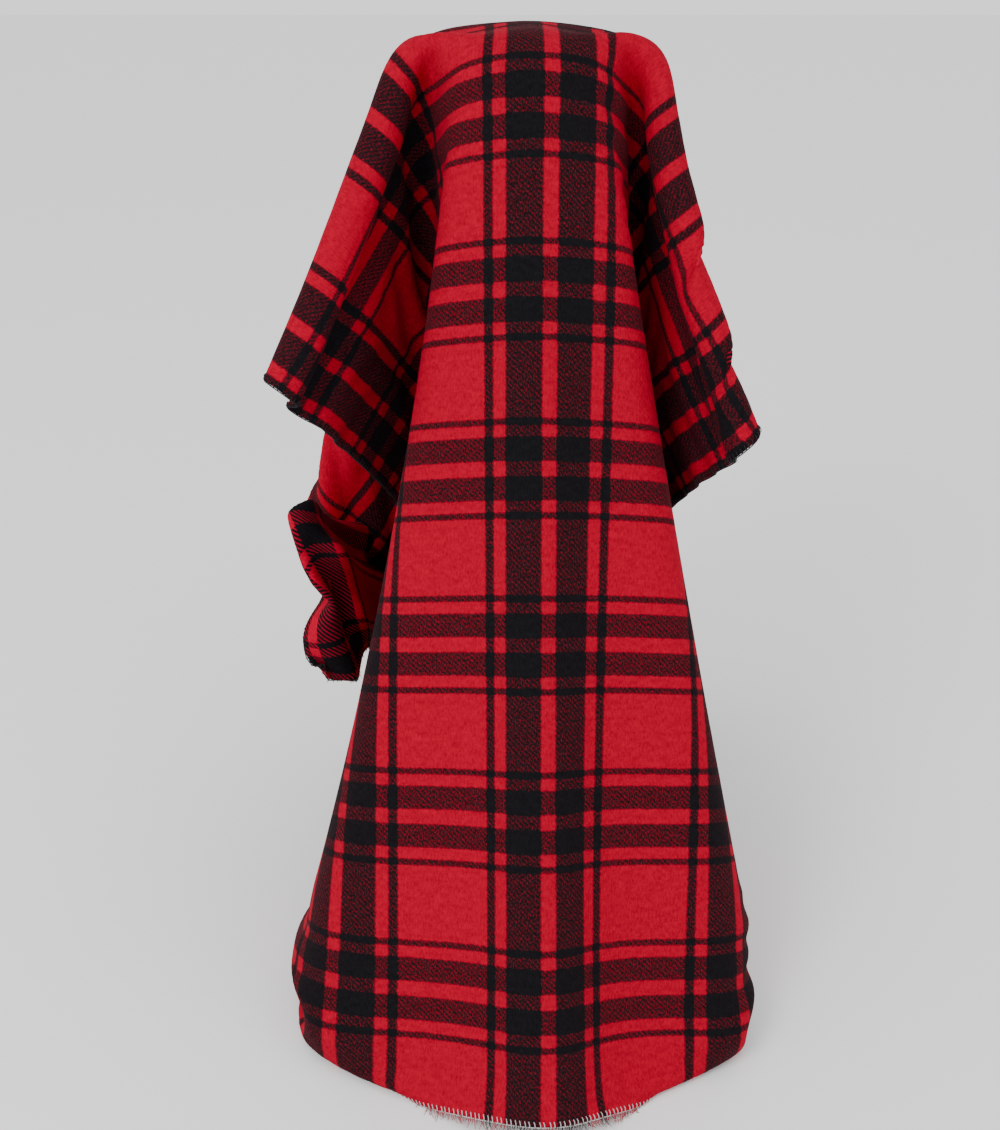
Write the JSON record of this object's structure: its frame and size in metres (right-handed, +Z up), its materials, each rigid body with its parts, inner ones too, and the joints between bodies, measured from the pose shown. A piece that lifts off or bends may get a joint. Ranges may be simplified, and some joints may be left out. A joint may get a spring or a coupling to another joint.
{
  "type": "draped tartan camp blanket",
  "caption": "Red and black tartan wool camp blanket draped in folds over a small stand (not included), with bound edges and short fringed ends.",
  "frame": {"origin": "middle of the flat underside of the oval top, where the stand bears on the cloth", "axes": "+Z up, front of the drape towards -Y, +X to the right seen from the front"},
  "size_m": [0.4297, 0.6342, 0.7475],
  "materials": {
    "wool": "brushed red and black tartan twill",
    "thread": "dark overlock thread",
    "fringe": "frayed red and black warp ends"
  },
  "bodies": {
    "root": {"woven_cloth": "wool", "left_edge_overlock": "thread", "right_edge_overlock": "thread", "front_end_overlock": "thread", "back_end_overlock": "thread", "front_end_fringe": "fringe", "back_end_fringe": "fringe"}
  },
  "joints": []
}
